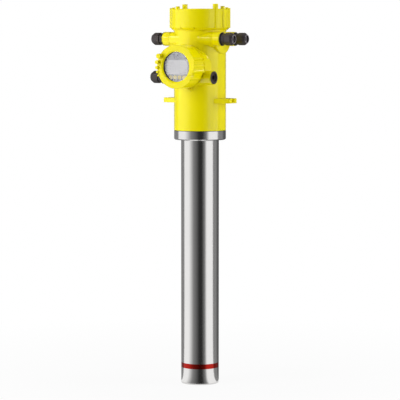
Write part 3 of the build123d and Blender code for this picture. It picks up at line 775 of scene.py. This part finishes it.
# Bright and dark cards round the object, and the same pattern on the floor, for the steel to reflect
cards = {
    "radius": 1.6,
    "height": 3.2,
    "floorHole": 0.05,
    "drop": 0.0001,  # below the object's foot, above the floor
    "steps": 96,
    "fade": (0.95, 1.1),  # heights between which the cards grow darker
    "upperShare": 0.3,  # of the light below
    "light": {"bright": 1.2, "dim": 0.3, "shade": 0.12, "dark": 0.03},
    # where each kind of card begins and ends, in degrees right of the camera's side;
    # the light fades evenly from one kind to the next
    "places": [
        (-180, "dim"), (-112, "dim"),
        (-108, "bright"), (-70, "bright"),
        (-40, "dim"),
        (-5, "dark"), (12, "dark"),
        (30, "dim"),
        (40, "bright"), (83, "bright"),
        (86, "dim"), (115, "dim"),
        (130, "shade"), (180, "shade"),
    ],
}


# Glow that follows the cards' light round the upright axis
def cardMaterial():
    light = cards["light"]
    brightest = max(light.values())
    material, tree = newMaterial("reflectionCard")
    place = addNode(tree, "ShaderNodeTexCoord")
    parts = addNode(tree, "ShaderNodeSeparateXYZ", None, Vector=(place, "Object"))
    angle = addNode(tree, "ShaderNodeMath", {"operation": "ARCTAN2"}, i0=(parts, "X"), i1=(parts, "Y"))
    share = addNode(tree, "ShaderNodeMapRange", {"From Min": -pi, "From Max": pi}, Value=(angle, 0))
    ramp = addNode(tree, "ShaderNodeValToRGB", None, Fac=(share, "Result"))
    stops = ramp.color_ramp.elements
    while len(stops) < len(cards["places"]):
        stops.new(0.5)
    for stop, (degrees, kind) in zip(stops, cards["places"]):
        stop.position = (degrees + 180) / 360
        stop.color = (light[kind] / brightest,) * 3 + (1.0,)
    low, high = cards["fade"]
    fade = addNode(
        tree,
        "ShaderNodeMapRange",
        {"From Min": low, "From Max": high, "To Min": brightest, "To Max": brightest * cards["upperShare"]},
        Value=(parts, "Z"),
    )
    glow = addNode(tree, "ShaderNodeEmission", None, Color=(ramp, "Color"), Strength=(fade, "Result"))
    addNode(tree, "ShaderNodeOutputMaterial", None, Surface=(glow, "Emission"))
    return material


def makeCards():
    steps = cards["steps"]
    turns = [2 * pi * step / steps for step in range(steps)]
    levels = [(cards["floorHole"], 0.0), (cards["radius"], 0.0), (cards["radius"], cards["height"])]
    shape = bmesh.new()
    rings = []
    for radius, height in levels:
        rings.append([shape.verts.new((sin(t) * radius, cos(t) * radius, height)) for t in turns])
    for inner, outer in zip(rings, rings[1:]):
        for i in range(steps):
            j = (i + 1) % steps
            shape.faces.new((inner[i], inner[j], outer[j], outer[i]))
    ring = reflectionPiece("reflectionCards", shape, cardMaterial())
    ring.location.z = cadBox[0][2] - cards["drop"]
    ring.scale.x = -1  # angles are counted towards the right, seen from above
    ring.rotation_euler.z = radians(shot["azimuth"] + 180)


# Narrow bent strip lights above the cards, for streaks along level rounds and knobs
strips = {
    "radius": 1.55,
    "height": 1.18,
    "width": 0.25,
    "light": 6.0,
    "spans": ((-105, -20), (90, 140)),  # degrees right of the camera's side
    "stepDegrees": 5,
}


def makeStrips():
    material, tree = newMaterial("stripLight")
    glow = addNode(tree, "ShaderNodeEmission", {"Strength": strips["light"]})
    addNode(tree, "ShaderNodeOutputMaterial", None, Surface=(glow, "Emission"))
    for number, (first, last) in enumerate(strips["spans"]):
        shape = bmesh.new()
        before = None
        for angle in range(first, last + 1, strips["stepDegrees"]):
            foot = around(angle, strips["radius"], strips["height"])
            pair = [shape.verts.new(foot), shape.verts.new(foot + Vector((0, 0, strips["width"])))]
            if before:
                shape.faces.new((before[0], pair[0], pair[1], before[1]))
            before = pair
        reflectionPiece(f"stripLight_{number}", shape, material)


# Soft boxes round the object and one overhead; reflections show the cards in their place
lamps = {
    "height": 0.62,
    "aim": 0.55,
    "sides": {
        "leftBox": {"angle": -62, "distance": 1.8, "width": 1.2, "height": 2.2, "watts": 38.0},
        "rightBox": {"angle": 82, "distance": 1.8, "width": 1.1, "height": 2.2, "watts": 31.0},
        "backBox": {"angle": 168, "distance": 1.8, "width": 1.0, "height": 2.2, "watts": 16.0},
    },
    "top": {"height": 2.6, "aim": 0.5, "width": 1.2, "watts": 12.0},
}


def softbox(name, place, aim, width, height, watts):
    data = bpy.data.lights.new(name, "AREA")
    data.shape = "RECTANGLE"
    data.size = width
    data.size_y = height
    data.energy = watts
    lamp = bpy.data.objects.new(name, data)
    bpy.context.scene.collection.objects.link(lamp)
    lamp.location = place
    lamp.rotation_euler = (Vector((0, 0, aim)) - place).to_track_quat("-Z", "Y").to_euler()
    lamp.visible_camera = lamp.visible_glossy = False


def makeLamps():
    for name, box in lamps["sides"].items():
        place = around(box["angle"], box["distance"], lamps["height"])
        softbox(name, place, lamps["aim"], box["width"], box["height"], box["watts"])
    top = lamps["top"]
    softbox("topBox", Vector((0, 0, top["height"])), top["aim"], top["width"], top["width"], top["watts"])


makeWorld()
makeFloor()
makeCards()
makeStrips()
makeLamps()
print("studio lit")
